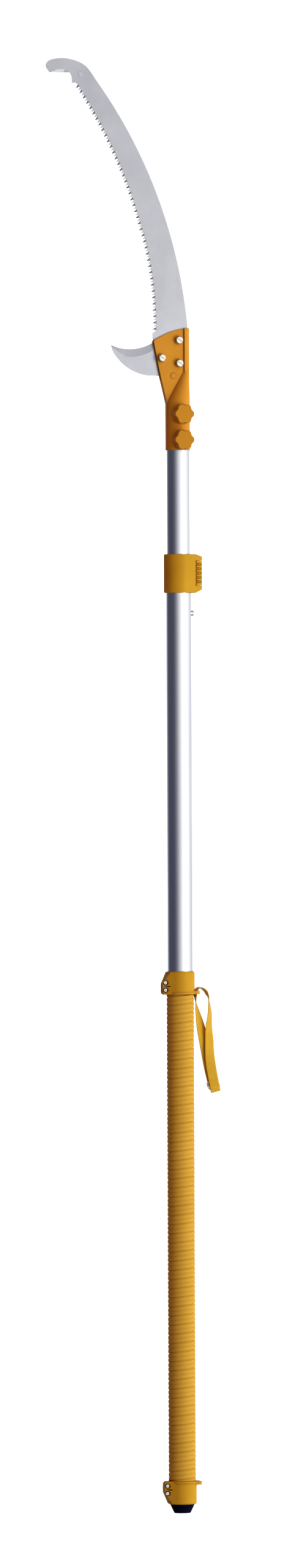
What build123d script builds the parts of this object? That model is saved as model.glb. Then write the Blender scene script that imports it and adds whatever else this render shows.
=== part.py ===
from build123d import *
import os
from math import atan2, cos, hypot, pi, radians, sin, sqrt

# Telescoping pole saw. Millimetres. The origin is the middle of the foot's flat end,
# +Z runs up the pole to the blade, the teeth face -X and the knobs face -Y.

os.makedirs("parts", exist_ok=True)

# ---- pole ----
POLE_WALL = 1.4
UPPER_POLE = (19.25, 16.0)         # half-widths of the oval along X and Y
LOWER_POLE = (21.1, 17.85)
UPPER_POLE_BOTTOM = 60.0
UPPER_POLE_TOP = 1845.0
LOWER_POLE_BOTTOM = 14.5
LOWER_POLE_TOP = 1590.0
POLE_TRAVEL = 1380.0
RUNNING_GAP = 0.08                 # between a bush and the pole that slides in it

# ---- blade holder ----
HOLDER_BOTTOM = 1769.2
SOCKET_TOP = 1849.0
CONE_TOP = 1905.0
SOCKET_WALL = 1.2
CHEEK_INNER = 1.75                 # the two blades fill the space between the cheeks
CHEEK_OUTER = 4.75
SPINE_CENTRE_X = 9.8
SPINE_HALF = (10.6, 7.05)
SPINE_WALL = 1.5
BLADE_BOLTS = [(0.0, 1952.3), (-30.5, 1922.4), (0.5, 1914.0)]
BOLT_RADIUS = 2.5
BOLT_HEAD_RADIUS = 6.1
BOLT_HEAD_HEIGHT = 6.8

# ---- knobs that clamp the holder to the pole ----
KNOB_HEIGHTS = [1828.9, 1786.0]
KNOB_LOBES = 6
KNOB_RADIUS = 17.0
KNOB_VALLEY = 14.4
KNOB_FACE_Y = -34.5
KNOB_BASE_Y = -19.2
KNOB_BOLT_RADIUS = 3.0

# ---- saw blade ----
TOOTH_PITCH = 5.2
TOOTH_DEPTH = 6.5
SPINE_ARC = (-775.5, 1899.7, 796.3)          # centre x, centre z, radius
EDGE_ARC_UPPER = (-826.7, 1920.7, 788.3)
EDGE_ARC_LOWER = (-591.5, 1977.5, 547.1)
TEETH_TOP_Z = 2371.4
EDGE_JOIN_Z = 2130.6
TEETH_BOTTOM_Z = 1964.4
BLADE_TIP_Z = 2380.0
SAW_BACK_Y, SAW_FRONT_Y = -0.25, -1.75
SICKLE_BACK_Y, SICKLE_FRONT_Y = 1.75, -0.25
TIP_RIVET = (-169.7, 2392.7, 4.2)

# ---- clamp on top of the lower pole ----
CLAMP_BOTTOM, CLAMP_TOP = 1531.7, 1596.1
CLAMP_OVAL = (24.8, 21.3)
CLAMP_BOX_X, CLAMP_BOX_Y = 37.5, 11.8
CLAMP_ROUNDING = 1.8
LEVER_BOTTOM, LEVER_TOP = 1543.8, 1585.6
LEVER_PIVOT = (30.0, 9.0)
CAM_CLOSED, CAM_OPEN = 4.6, 4.0              # cam radius that faces the shoe
LEVER_SWING = 110.0
SHOE_GAP = 0.1

# ---- lock button ----
BUTTON_Z = 1498.0
BUTTON_RADIUS = 4.45
BUTTON_OUT = 26.8

# ---- grip ----
GRIP_OVAL = (23.0, 19.8)
GRIP_BOTTOM, GRIP_TOP = 41.1, 875.0
COLLAR_OVAL = (24.3, 21.1)
COLLAR_HEIGHT = 36.6
UPPER_COLLAR_RIM = 865.0
LOWER_COLLAR_RIM = 51.1
COLLAR_SCREW_X = -28.6
EAR_X, EAR_HALF = -32.8, 5.0
COLLAR_SCREWS = [5.6, 17.9]                  # heights above the collar's rim
LOOP_SLOT_X = (24.6, 29.4)
LOOP_SLOT_HALF = 10.4

# ---- wrist strap ----
STRAP_WIDTH = 17.5
STRAP_THICK = 1.5


def shrunk(oval, by):
    return (oval[0] - by, oval[1] - by)


def oval_bar(half, z0, z1, x=0.0):
    """A solid bar of oval section along Z."""
    return extrude(Pos(x, 0, z0) * Ellipse(half[0], half[1]), amount=z1 - z0)


def oval_tube(outer, inner, z0, z1):
    return oval_bar(outer, z0, z1) - oval_bar(inner, z0, z1)


def bar_y(x, z, radius, y0, y1):
    """A round bar along Y."""
    start = Plane(origin=(x, y0, z), x_dir=(1, 0, 0), z_dir=(0, 1, 0))
    return extrude(start * Circle(radius), amount=y1 - y0)


def bar_x(y, z, radius, x0, x1):
    """A round bar along X."""
    start = Plane(origin=(x0, y, z), x_dir=(0, 1, 0), z_dir=(1, 0, 0))
    return extrude(start * Circle(radius), amount=x1 - x0)


def bar_z(x, y, radius, z0, z1):
    return extrude(Pos(x, y, z0) * Circle(radius), amount=z1 - z0)


def block(x0, x1, y0, y1, z0, z1):
    size = (x1 - x0, y1 - y0, z1 - z0)
    return Pos((x0 + x1) / 2, (y0 + y1) / 2, (z0 + z1) / 2) * Box(*size)


def plate(edges, y0, y1):
    """A flat plate whose outline is drawn in X and Z, between two values of Y."""
    face = make_face(edges)
    back = Plane(origin=(0, y1, 0), x_dir=(1, 0, 0), z_dir=(0, -1, 0))
    return extrude(back * face, amount=y1 - y0)


def straight(points):
    return Polyline(*points, close=True)


def hex_y(x, z, across, y0, y1):
    """A hexagonal nut blank along Y."""
    start = Plane(origin=(x, y0, z), x_dir=(1, 0, 0), z_dir=(0, 1, 0))
    hexagon = RegularPolygon(radius=across / 2, side_count=6, major_radius=False)
    return extrude(start * hexagon, amount=y1 - y0)


def arc_x(arc, z):
    """The x of a point at height z on the right side of a circle."""
    return arc[0] + sqrt(arc[2] ** 2 - (z - arc[1]) ** 2)


def arc_point(arc, z):
    return (arc_x(arc, z), z)


def arc_angle(arc, z):
    return atan2(z - arc[1], arc_x(arc, z) - arc[0])


def edge_spot(distance):
    """Point and outward direction on the cutting edge, this far below the first tooth."""
    upper, lower = EDGE_ARC_UPPER, EDGE_ARC_LOWER
    start = arc_angle(upper, TEETH_TOP_Z)
    upper_length = (start - arc_angle(upper, EDGE_JOIN_Z)) * upper[2]
    if distance <= upper_length:
        arc = upper
        angle = start - distance / upper[2]
    else:
        arc = lower
        angle = arc_angle(lower, EDGE_JOIN_Z) - (distance - upper_length) / lower[2]
    centre_side = (cos(angle), sin(angle))
    tip = (arc[0] + arc[2] * centre_side[0], arc[1] + arc[2] * centre_side[1])
    return tip, (-centre_side[0], -centre_side[1])


def edge_length():
    upper, lower = EDGE_ARC_UPPER, EDGE_ARC_LOWER
    first = (arc_angle(upper, TEETH_TOP_Z) - arc_angle(upper, EDGE_JOIN_Z)) * upper[2]
    second = (arc_angle(lower, EDGE_JOIN_Z) - arc_angle(lower, TEETH_BOTTOM_Z)) * lower[2]
    return first + second


def toothed_edge():
    """Corner points of the teeth from the blade's tip to its heel. Each tooth leans to the heel."""
    points = []
    count = int(edge_length() / TOOTH_PITCH)
    for n in range(count):
        at = (n + 0.6) * TOOTH_PITCH
        for shift, depth in ((-3.1, TOOTH_DEPTH), (0.0, 0.0), (1.3, TOOTH_DEPTH)):
            tip, outward = edge_spot(max(at + shift, 0.0))
            points.append((tip[0] - outward[0] * depth, tip[1] - outward[1] * depth))
    return points


def saw_blade():
    teeth = toothed_edge()
    spine_low = arc_point(SPINE_ARC, 1974.0)
    spine_mid = arc_point(SPINE_ARC, 2190.0)
    spine_top = arc_point(SPINE_ARC, BLADE_TIP_Z)
    hook_end = (-224.8, 2394.9)
    hook = Spline(spine_top, (-159.1, 2404.6), (-178.3, 2414.8), (-202.5, 2418.9),
                  (-224.4, 2414.8), (-231.3, 2405.2), hook_end)
    underside = Polyline(hook_end, (-188.7, 2394.6))
    throat = Spline((-188.7, 2394.6), (-185.6, 2387.8), (-185.0, 2377.3))
    edge = Polyline((-185.0, 2377.3), (-178.1, 2377.9), *teeth, (-44.3, 1963.5), (-44.3, 1955.0),
                    (-38.5, 1936.0), (-35.0, 1911.0), (-9.0, 1901.5), (7.5, 1901.5),
                    (9.4, 1930.0), (16.8, 1960.0), spine_low)
    spine = ThreePointArc(spine_low, spine_mid, spine_top)
    blade = plate(hook + underside + throat + edge + spine, SAW_FRONT_Y, SAW_BACK_Y)
    for x, z in BLADE_BOLTS:
        blade -= bar_y(x, z, BOLT_RADIUS + 0.1, -5, 5)
    return blade - bar_y(TIP_RIVET[0], TIP_RIVET[1], TIP_RIVET[2], -5, 5)


def tip_rivet():
    rivet = bar_y(TIP_RIVET[0], TIP_RIVET[1], TIP_RIVET[2], SAW_FRONT_Y - 0.2, SAW_BACK_Y + 0.2)
    return chamfer(rivet.edges().filter_by(GeomType.CIRCLE), 0.15)


def sickle_blade():
    tip = (-117.5, 1943.4)
    edge = ThreePointArc(tip, (-84.1, 1936.9), (-44.0, 1947.8))
    root = Polyline((-44.0, 1947.8), (-38.0, 1948.6), (-20.0, 1946.0), (8.0, 1931.0),
                    (8.0, 1905.0), (-5.0, 1897.0), (-34.8, 1892.6))
    back = Spline((-34.8, 1892.6), (-62.5, 1894.9), (-90.0, 1907.2), (-110.5, 1927.6), tip)
    blade = plate(edge + root + back, SICKLE_FRONT_Y, SICKLE_BACK_Y)
    for x, z in BLADE_BOLTS[1:]:
        blade -= bar_y(x, z, BOLT_RADIUS + 0.1, -5, 5)
    return blade


def blade_spacer():
    """Fills the sickle's layer above its root, so the cheeks clamp the saw blade flat."""
    outline = straight([(-41.0, 1950.2), (-38.0, 1949.6), (-20.0, 1947.0), (7.5, 1932.2),
                        (7.5, 1969.0), (-12.0, 1965.0), (-32.0, 1956.5), (-41.0, 1952.2)])
    spacer = plate(outline, SICKLE_FRONT_Y, SICKLE_BACK_Y)
    x, z = BLADE_BOLTS[0]
    return spacer - bar_y(x, z, BOLT_RADIUS + 0.1, -5, 5)


def cheek(y0, y1):
    top = Spline((-42.0, 1952.8), (-32.0, 1957.9), (-12.6, 1966.4), (9.0, 1971.7), (12.0, 1972.1))
    rest = Polyline((12.0, 1972.1), (12.0, SOCKET_TOP), (-20.4, SOCKET_TOP), (-20.4, 1846.2),
                    (-33.4, 1899.2), (-43.7, 1949.6), (-42.0, 1952.8))
    return plate(top + rest, y0, y1)


def blade_holder():
    outer = (UPPER_POLE[0] + 0.05 + SOCKET_WALL, UPPER_POLE[1] + 0.05 + SOCKET_WALL)
    bore = (UPPER_POLE[0] + 0.05, UPPER_POLE[1] + 0.05)
    # rounded spine: the fold of the sheet behind the blades
    fold = oval_bar(SPINE_HALF, CONE_TOP - 14.0, 1990.0, SPINE_CENTRE_X)
    fold &= block(SPINE_CENTRE_X, 40, -20, 20, 1880, 2000)
    hollow = oval_bar(shrunk(SPINE_HALF, SPINE_WALL), CONE_TOP - 20.0, 1990.0, SPINE_CENTRE_X)
    fold -= hollow & block(SPINE_CENTRE_X + SPINE_WALL, 40, -20, 20, 1880, 2000)
    fold -= block(0, 20, -CHEEK_INNER, CHEEK_INNER, 1880, 2000) & block(0, 16, -3, 3, 1880, 2000)
    fold -= plate(straight([(0, 1971.2), (40, 1974.9), (40, 2000), (0, 2000)]), -20, 20)
    # half cone that widens into the oval socket
    cone = loft([Pos(0, 0, SOCKET_TOP) * Ellipse(*outer),
                 Pos(14.6, 0, CONE_TOP) * Ellipse(5.2, 6.0)])
    cone_hollow = loft([Pos(0, 0, SOCKET_TOP) * Ellipse(*bore),
                        Pos(14.6, 0, CONE_TOP) * Ellipse(3.9, 4.7)])
    cheeks = cheek(-CHEEK_OUTER, -CHEEK_INNER) + cheek(CHEEK_INNER, CHEEK_OUTER)
    web = plate(straight([(-20.4, 1846.2), (-17.4, 1846.2), (-27.0, 1886.0), (-30.1, 1886.0)]),
                -CHEEK_INNER, CHEEK_INNER)
    socket = oval_bar(outer, HOLDER_BOTTOM, SOCKET_TOP)
    seam = block(-20.4, -17.0, -CHEEK_OUTER, CHEEK_OUTER, HOLDER_BOTTOM, SOCKET_TOP)
    holder = socket + seam - oval_bar(bore, HOLDER_BOTTOM - 1, SOCKET_TOP)
    holder += (cone + cheeks + web) - cone_hollow
    holder += fold
    holder += bar_y(-9.0, 1893.0, 5.0, -CHEEK_OUTER - 0.7, -CHEEK_OUTER)
    for x, z in BLADE_BOLTS:
        holder -= bar_y(x, z, BOLT_RADIUS + 0.1, -12, 12)
    for z in KNOB_HEIGHTS:
        holder -= bar_y(0, z, KNOB_BOLT_RADIUS + 0.1, -30, 30)
    return holder


def blade_bolt(x, z):
    head_top = -CHEEK_OUTER - BOLT_HEAD_HEIGHT
    head = bar_y(x, z, BOLT_HEAD_RADIUS, head_top, -CHEEK_OUTER)
    head = chamfer(head.edges().filter_by(GeomType.CIRCLE).sort_by(Axis.Y)[0], 0.7)
    slot = Pos(x, head_top, z) * Rot(0, 32, 0) * Box(14, 4.0, 1.3)
    return head + bar_y(x, z, BOLT_RADIUS, -CHEEK_OUTER, CHEEK_OUTER + 6.5) - slot


def blade_nut(x, z):
    nut = hex_y(x, z, 9.0, CHEEK_OUTER, CHEEK_OUTER + 4.0)
    return nut - bar_y(x, z, BOLT_RADIUS, 0, 20)


def lobed_outline(scale=1.0):
    """Round-lobed outline of a knob as a closed curve in its own plane."""
    middle = (KNOB_RADIUS + KNOB_VALLEY) / 2
    swing = (KNOB_RADIUS - KNOB_VALLEY) / 2
    points = []
    for n in range(KNOB_LOBES * 8):
        angle = 2 * pi * n / (KNOB_LOBES * 8)
        wave = cos(KNOB_LOBES * angle)
        reach = middle + swing * (wave + 0.25 * (1 - wave * wave))
        points.append((scale * reach * cos(angle), scale * reach * sin(angle)))
    return Spline(*points, periodic=True)


def knob(z):
    front = Plane(origin=(0, KNOB_FACE_Y, z), x_dir=(1, 0, 0), z_dir=(0, 1, 0))
    body = extrude(front * make_face(lobed_outline()), amount=KNOB_BASE_Y - KNOB_FACE_Y)
    body = fillet(body.faces().sort_by(Axis.Y)[0].edges(), 1.2)
    return body - bar_y(0, z, KNOB_BOLT_RADIUS + RUNNING_GAP, KNOB_FACE_Y + 3.0, KNOB_BASE_Y)


def knob_washer(z):
    washer = bar_y(0, z, 8.0, -18.7, -17.35)
    return washer - bar_y(0, z, KNOB_BOLT_RADIUS + 0.1, -20, -10)


def knob_bolt(z):
    bolt = bar_y(0, z, KNOB_BOLT_RADIUS, KNOB_FACE_Y + 3.5, 17.4)
    head = bar_y(0, z, 5.5, 17.4, 21.4)
    head = chamfer(head.edges().filter_by(GeomType.CIRCLE).sort_by(Axis.Y)[-1], 0.6)
    return bolt + head - hex_y(0, z, 5.0, 19.0, 22.0)


def upper_pole():
    tube = oval_tube(UPPER_POLE, shrunk(UPPER_POLE, POLE_WALL), UPPER_POLE_BOTTOM, UPPER_POLE_TOP)
    for z in KNOB_HEIGHTS:
        tube -= bar_y(0, z, KNOB_BOLT_RADIUS + 0.2, -20, 20)
    for z in (BUTTON_Z, BUTTON_Z - POLE_TRAVEL):
        tube -= bar_x(0, z, BUTTON_RADIUS + 0.35, 10, 25)
    return tube


def pole_guide():
    """Plug in the upper pole's lower end. Its flange slides in the lower pole."""
    bore = shrunk(LOWER_POLE, POLE_WALL)
    flange = oval_bar(shrunk(bore, RUNNING_GAP), UPPER_POLE_BOTTOM - 8, UPPER_POLE_BOTTOM)
    plug = oval_bar(shrunk(UPPER_POLE, POLE_WALL), UPPER_POLE_BOTTOM, UPPER_POLE_BOTTOM + 16)
    core = shrunk(UPPER_POLE, POLE_WALL + 2.5)
    return flange + plug - oval_bar(core, UPPER_POLE_BOTTOM - 9, UPPER_POLE_BOTTOM + 17)


def lock_spring(z):
    """Leaf clip folded inside the upper pole, with the pin that fills the pole's hole."""
    half_width = 4.0
    near_leg = block(15.6, 16.4, -half_width, half_width, z - 36, z + 8)
    far_leg = block(-14.6, -13.8, -half_width, half_width, z - 36, z - 12)
    bend = block(-14.6, 16.4, -half_width, half_width, z - 36.8, z - 36)
    return near_leg + far_leg + bend + bar_x(0, z, 4.2, 16.4, 18.9)


def lower_pole():
    tube = oval_tube(LOWER_POLE, shrunk(LOWER_POLE, POLE_WALL), LOWER_POLE_BOTTOM, LOWER_POLE_TOP)
    tube -= bar_x(0, BUTTON_Z, BUTTON_RADIUS + RUNNING_GAP, 10, 30)
    shoe_low, shoe_high = shoe_heights()
    return tube - block(10, 30, -6.0, 6.0, shoe_low - 0.3, shoe_high + 0.3)


def lock_button():
    stem = bar_x(0, BUTTON_Z, BUTTON_RADIUS, 19.75, BUTTON_OUT)
    rim = stem.edges().filter_by(GeomType.CIRCLE).sort_by(Axis.X)[-1]
    return fillet(rim, 2.2)


def wedge_plan(oval, x, y):
    """Plan of an oval body whose sides run straight to the corners of a box at x, from -y to y."""
    a, b = oval
    side = 1 if x > 0 else -1
    reach = hypot(x / a, y / b)
    touch = atan2(y / b, abs(x) / a) + atan2(sqrt(reach * reach - 1.0), 1.0)
    start = touch * 180 / pi
    curve = EllipticalCenterArc((0, 0), a, b, start_angle=start, arc_size=360 - 2 * start)
    ends = (abs(x), -y), (abs(x), y)
    face = make_face(curve + Polyline(curve @ 1, *ends, curve @ 0))
    front = (side * a * cos(touch), -b * sin(touch))
    return (face if side > 0 else mirror(face, about=Plane.YZ)), front


def slope_x(x0, z0, x1, z1, z_far):
    """A wedge over or under a sloping line, used to cut the lever box's corners."""
    return plate(straight([(x0, z0), (x1, z1), (x1, z_far), (x0, z_far)]), -30, 30)


def clamp_collar():
    plan, front = wedge_plan(CLAMP_OVAL, CLAMP_BOX_X, CLAMP_BOX_Y)
    body = extrude(Pos(0, 0, CLAMP_BOTTOM) * plan, amount=CLAMP_TOP - CLAMP_BOTTOM)
    rims = body.edges().group_by(Axis.Z)
    body = fillet(rims[0] + rims[-1], CLAMP_ROUNDING)
    body -= slope_x(25.5, CLAMP_TOP, 50, CLAMP_TOP - 8.2, CLAMP_TOP + 20)
    body -= slope_x(25.5, CLAMP_BOTTOM, 50, CLAMP_BOTTOM + 12.0, CLAMP_BOTTOM - 20)
    # window for the lever, open to the front, the right and the back
    window = block(24.9, 60, -40, 40, LEVER_BOTTOM, LEVER_TOP)
    window += plate_plan([(19.0, -40), (24.9, -15.6), (24.9, 40), (60, 40), (60, -40)])
    keep = oval_bar(CLAMP_OVAL, LEVER_BOTTOM - 1, LEVER_TOP + 1)
    body -= window - keep
    body -= oval_bar(LOWER_POLE, CLAMP_BOTTOM - 1, LOWER_POLE_TOP + 3.0)
    body -= oval_bar((19.75, 16.5), LOWER_POLE_TOP, CLAMP_TOP + 1)
    shoe_low, shoe_high = shoe_heights()
    body -= block(10, 40, -6.0, 6.0, shoe_low - 0.3, shoe_high + 0.3)
    body -= block(23.95, 40, -6.0, 12.3, shoe_low - 0.3, shoe_high + 0.3)
    body -= bar_z(LEVER_PIVOT[0], LEVER_PIVOT[1], 2.0, CLAMP_BOTTOM - 1, CLAMP_TOP + 1)
    return body - bar_y(0, 1564.0, 2.6, 10, 30)


def plate_plan(points):
    """A block over the lever's height whose outline is drawn in X and Y."""
    face = make_face(Polyline(*points, close=True))
    return extrude(Pos(0, 0, LEVER_BOTTOM) * face, amount=LEVER_TOP - LEVER_BOTTOM)


def facet_y(x):
    """Y of the clamp's sloping front side at this x."""
    plan, front = wedge_plan(CLAMP_OVAL, CLAMP_BOX_X, CLAMP_BOX_Y)
    along = (x - front[0]) / (CLAMP_BOX_X - front[0])
    return front[1] + along * (-CLAMP_BOX_Y - front[1])


def cam_point(degrees):
    """The cam's edge. It shrinks steadily as the lever swings open."""
    turned = (180.0 - degrees) / LEVER_SWING
    reach = CAM_CLOSED - (CAM_CLOSED - CAM_OPEN) * turned
    angle = radians(degrees)
    return (LEVER_PIVOT[0] + reach * cos(angle), LEVER_PIVOT[1] + reach * sin(angle))


def clamp_lever():
    low, high = LEVER_BOTTOM + 0.4, LEVER_TOP - 0.4
    cam = Spline(*[cam_point(d) for d in (20, 43, 66, 95, 124, 152, 180, 200)])
    inner_x = 26.2
    outer = Polyline(cam @ 1, (inner_x, 5.0), (inner_x, facet_y(inner_x)),
                     (CLAMP_BOX_X - 0.2, facet_y(CLAMP_BOX_X - 0.2)),
                     (CLAMP_BOX_X - 0.2, 9.5), (34.2, 10.4), cam @ 0)
    lever = extrude(Pos(0, 0, low) * make_face(cam + outer), amount=high - low)
    lever -= bar_z(LEVER_PIVOT[0], LEVER_PIVOT[1], 2.06, low - 1, high + 1)
    # round finger grooves across the sloping front, deepest beside the body
    for step in (-2, -1, 0, 1, 2):
        z = (low + high) / 2 + 7.2 * step
        lever -= bar_x(facet_y(inner_x) + 0.9, z, 2.7, 24, 36.4)
    # hollow behind the front wall
    return lever - block(28.9, 34.9, -8.5, 2.0, low + 2.5, high - 2.5)


def lever_pin():
    return bar_z(LEVER_PIVOT[0], LEVER_PIVOT[1], 2.0, 1536.5, 1593.0)


def shoe_heights():
    middle = (LEVER_BOTTOM + LEVER_TOP) / 2
    return middle - 14.0, middle + 14.0


def clamp_shoe():
    """Brake shoe between the lever's cam and the upper pole."""
    low, high = shoe_heights()
    outer_x = LEVER_PIVOT[0] - CAM_CLOSED - SHOE_GAP
    shoe = block(16, outer_x, -5.7, 5.7, low, high)
    shoe += block(24.25, outer_x, -5.7, 12.0, low, high)
    gap = (UPPER_POLE[0] + 0.1, UPPER_POLE[1] + 0.1)
    return shoe - oval_bar(gap, low - 1, high + 1)


def clamp_liner():
    """Guide ring on the lower pole's mouth, a running fit round the upper pole."""
    inner = (UPPER_POLE[0] + RUNNING_GAP, UPPER_POLE[1] + RUNNING_GAP)
    return oval_tube(LOWER_POLE, inner, LOWER_POLE_TOP, LOWER_POLE_TOP + 3.0)


def clamp_screw():
    screw = bar_y(0, 1564.0, 2.6, LOWER_POLE[1], CLAMP_OVAL[1] + 0.4)
    return screw - hex_y(0, 1564.0, 2.5, CLAMP_OVAL[1] - 1.5, CLAMP_OVAL[1] + 1)


def grip_sleeve():
    return oval_tube(GRIP_OVAL, LOWER_POLE, GRIP_BOTTOM, GRIP_TOP)


def collar_shape():
    """A grip collar with its rim at z = 0 and the pole leaving it at the top."""
    body = oval_bar(COLLAR_OVAL, 0, COLLAR_HEIGHT)
    body = fillet(body.edges().sort_by(Axis.Z)[-1], 3.0)
    plan, front = wedge_plan(COLLAR_OVAL, EAR_X, EAR_HALF)
    ear = extrude(Pos(0, 0, -3) * plan, amount=COLLAR_HEIGHT + 3)
    ear &= plate(straight([(-12, 35.4), (-21.6, 35.4), (EAR_X, 16.0), (EAR_X, 1.8),
                           (-31.2, -0.9), (-28.4, -2.0), (-12, -2.0)]), -30, 30)
    rim = oval_bar((COLLAR_OVAL[0] + 0.9, COLLAR_OVAL[1] + 0.9), -1.5, 1.6)
    loop = extrude(Pos(12.0, 0, -1.5) * RectangleRounded(40, 28, 8.0), amount=5.6)
    loop &= block(0, 40, -20, 20, -10, 10)
    slot = extrude(Pos((LOOP_SLOT_X[0] + LOOP_SLOT_X[1]) / 2, 0, -5)
                   * RectangleRounded(LOOP_SLOT_X[1] - LOOP_SLOT_X[0], 2 * LOOP_SLOT_HALF, 1.2),
                   amount=15)
    # the slot runs on up beside the body, so it scoops the body to clear the strap
    collar = body + ear + rim + loop - slot
    collar -= oval_bar(GRIP_OVAL, -5, 10.0)
    collar -= oval_bar(LOWER_POLE, 5, COLLAR_HEIGHT + 1)
    collar -= block(-40, -15, -0.75, 0.75, -5, 40)
    for z in COLLAR_SCREWS:
        collar -= bar_y(COLLAR_SCREW_X, z, 2.0, -12, 12)
        collar -= bar_y(COLLAR_SCREW_X, z, 4.1, -12, -4.5)
        collar -= hex_y(COLLAR_SCREW_X, z, 5.6, 5.0, 12)
    return collar - block(-30.5, -20.5, -12, -6.2, 11.1, 12.6)


def collar_screw(z):
    screw = bar_y(COLLAR_SCREW_X, z, 1.9, -4.5, 6.8) + bar_y(COLLAR_SCREW_X, z, 2.75, -7.6, -4.5)
    return screw - hex_y(COLLAR_SCREW_X, z, 2.5, -8.0, -5.6)


def collar_nut(z):
    return hex_y(COLLAR_SCREW_X, z, 5.5, 5.05, 6.6) - bar_y(COLLAR_SCREW_X, z, 1.9, 0, 12)


def on_upper(shape):
    return Pos(0, 0, UPPER_COLLAR_RIM) * shape


def on_lower(shape):
    return Pos(0, 0, LOWER_COLLAR_RIM) * mirror(shape, about=Plane.XY)


def foot_cap():
    """Tapered rubber foot with a plug that fills the pole's lower end."""
    bore = shrunk(LOWER_POLE, POLE_WALL)
    cone = loft([Pos(0, 0, 2.0) * Ellipse(14.8, 13.0), Pos(0, 0, 14.5) * Ellipse(20.8, 17.6)])
    base = loft([Ellipse(13.5, 11.7), Pos(0, 0, 2.0) * Ellipse(14.8, 13.0)])
    return cone + base + oval_bar(bore, 14.5, 38.0)


def strap_corners(x, y, z, turn, lean):
    """Corners of a cross-section. turn swings its width from X towards Y, lean is its path's."""
    way = Vector(sin(radians(lean)), 0, cos(radians(lean)))
    across = Vector(cos(radians(turn)), sin(radians(turn)), 0)
    across = (across - way * across.dot(way)).normalized() * (STRAP_WIDTH / 2)
    normal = way.cross(across).normalized() * (STRAP_THICK / 2)
    middle = Vector(x, y, z)
    signs = ((-1, -1), (1, -1), (1, 1), (-1, 1))
    return [middle + across * i + normal * j for i, j in signs]


def ribbon(sections):
    """A closed solid through a row of four-cornered sections, its two faces folded alike."""
    faces = [Face(Wire.make_polygon(sections[0])), Face(Wire.make_polygon(sections[-1]))]
    for here, there in zip(sections, sections[1:]):
        for n, m in ((0, 1), (1, 2), (3, 2), (0, 3)):
            faces.append(Face(Wire.make_polygon([here[n], here[m], there[m]])))
            faces.append(Face(Wire.make_polygon([here[n], there[m], there[n]])))
    return Solid(Shell(faces)).fix()


def between(first, last, steps):
    """Even steps from one row of numbers to the next, without the last."""
    rows = []
    for n in range(steps):
        rows.append([a + (b - a) * n / steps for a, b in zip(first, last)])
    return rows


def strap():
    """Webbing that hangs from the collar's slot, crosses over the loop and meets itself below."""
    back = [(60.0, 3.0, 706.0, 0, -14), (57.6, 3.0, 716.0, 0, -14), (50.3, 2.6, 745.0, 0, -12),
            (41.9, 1.4, 785.0, 5, -12), (37.0, 0.8, 806.0, 17, -11), (32.3, 0.3, 826.0, 38, -10),
            (27.6, 0.0, 850.0, 70, -3), (27.0, 0.0, 866.0, 90, 0)]
    over = [(29.4, 0.0, 871.5, 90, 45), (35.0, 0.0, 874.4, 90, 92), (43.7, 0.0, 869.5, 90, 138),
            (48.0, 0.0, 862.0, 84, 154), (50.2, 0.0, 856.0, 72, 164)]
    front = [(52.1, 0.0, 836.0, 53, 178), (52.0, 0.0, 826.0, 47, 182), (50.4, -0.1, 806.0, 31, 181),
             (50.9, -0.8, 785.0, 17, 179), (51.1, -1.6, 765.0, 10, 177), (52.9, -2.4, 745.0, 0, 172),
             (56.4, -3.2, 724.0, 0, 169), (58.2, -3.4, 713.0, 0, 168), (60.8, -3.4, 701.0, 0, 167)]
    spots = back + over + front
    rows = [row for here, there in zip(spots, spots[1:]) for row in between(here, there, 3)]
    return ribbon([strap_corners(*row) for row in rows + [spots[-1]]])


def strap_ring(y):
    """One D-shaped wire ring of the pair that joins the strap's ends."""
    wire = 1.1
    half = [(8.6, 4.6), (10.9, 1.6), (9.8, -2.6), (6.0, -6.8)]
    round_d = [(0, 5.0), *half, (0, -8.4), *[(-x, z) for x, z in reversed(half)]]
    drawn = Plane(origin=(0, 0, 0), x_dir=(1, 0, 0), z_dir=(0, -1, 0))
    path = Wire((drawn * Spline(*round_d, periodic=True)).edges())
    start = Plane(origin=path @ 0, z_dir=path % 0)
    ring = sweep(start * Circle(wire), path=path)
    return Pos(58.4, y, 711.0) * Rot(0, 13.0, 0) * ring


parts = {
    "saw_blade": saw_blade(),
    "tip_rivet": tip_rivet(),
    "sickle_blade": sickle_blade(),
    "blade_spacer": blade_spacer(),
    "blade_holder": blade_holder(),
    "upper_pole": upper_pole(),
    "pole_guide": pole_guide(),
    "lower_pole": lower_pole(),
    "lock_button": lock_button(),
    "clamp_collar": clamp_collar(),
    "clamp_lever": clamp_lever(),
    "lever_pin": lever_pin(),
    "clamp_shoe": clamp_shoe(),
    "clamp_liner": clamp_liner(),
    "clamp_screw": clamp_screw(),
    "grip_sleeve": grip_sleeve(),
    "upper_collar": on_upper(collar_shape()),
    "lower_collar": on_lower(collar_shape()),
    "foot_cap": foot_cap(),
    "strap": strap(),
    "strap_ring_front": strap_ring(-1.45),
    "strap_ring_back": strap_ring(1.05),
}

for name, (x, z) in zip(("top", "left", "low"), BLADE_BOLTS):
    parts["blade_bolt_" + name] = blade_bolt(x, z)
    parts["blade_nut_" + name] = blade_nut(x, z)

for name, z in zip(("upper", "lower"), KNOB_HEIGHTS):
    parts["knob_" + name] = knob(z)
    parts["knob_washer_" + name] = knob_washer(z)
    parts["knob_bolt_" + name] = knob_bolt(z)

for name, z in zip(("extended", "collapsed"), (BUTTON_Z - POLE_TRAVEL, BUTTON_Z)):
    parts["lock_spring_" + name] = lock_spring(z)

for end, place in (("upper", on_upper), ("lower", on_lower)):
    for n, z in enumerate(COLLAR_SCREWS, start=1):
        parts[f"{end}_collar_screw_{n}"] = place(collar_screw(z))
        parts[f"{end}_collar_nut_{n}"] = place(collar_nut(z))

for node, shape in parts.items():
    export_step(shape, "parts/" + node + ".step")
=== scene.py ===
from math import atan2, cos, hypot, pi, radians, sin, sqrt

import bmesh
import bpy
from mathutils import Matrix, Vector
from mathutils.geometry import tessellate_polygon


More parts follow.
